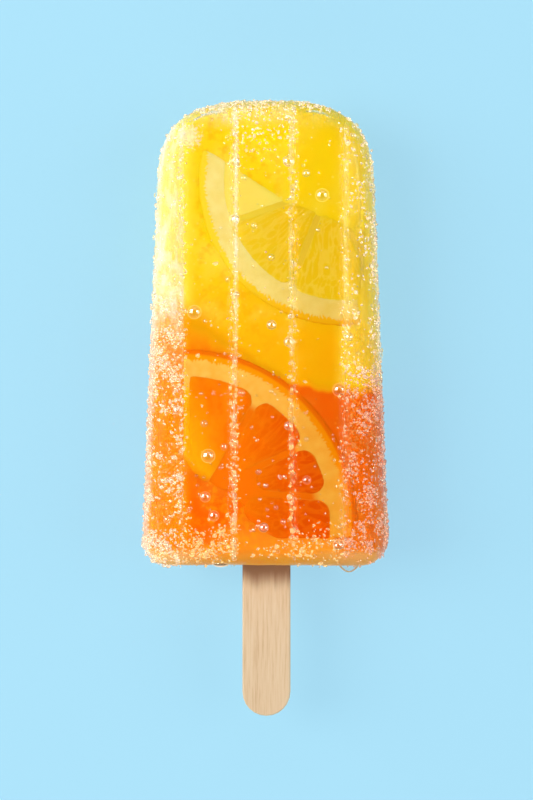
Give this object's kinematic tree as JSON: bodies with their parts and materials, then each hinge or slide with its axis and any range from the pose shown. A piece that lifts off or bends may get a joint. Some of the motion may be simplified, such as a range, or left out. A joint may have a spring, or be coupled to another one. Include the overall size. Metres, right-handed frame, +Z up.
{
  "type": "ice pop",
  "caption": "Two-layer citrus ice pop on a flat wooden stick, with slices of fruit frozen against its fluted front face, lying on its back.",
  "frame": {"origin": "middle of the whole pop's outline, on the surface that its flat back lies on", "axes": "+X across the pop, to the right when its front is seen with the tip up; +Y from the stick towards the rounded tip; +Z up, out of the front face"},
  "size_m": [0.0502, 0.1279, 0.0248],
  "materials": {
    "lemon_ice": "frosty frozen lemon juice, cloudy and see-through",
    "orange_ice": "frosty frozen orange juice, cloudy and see-through",
    "lemon_slice": "moist lemon flesh, pale pith and rind",
    "orange_slice": "moist orange flesh, pale pith and rind",
    "stick": "bare pale birch"
  },
  "bodies": {
    "root": {"lemon_ice": "lemon_ice", "orange_ice": "orange_ice", "lemon_slice": "lemon_slice", "orange_slice": "orange_slice", "stick": "stick"}
  },
  "joints": []
}
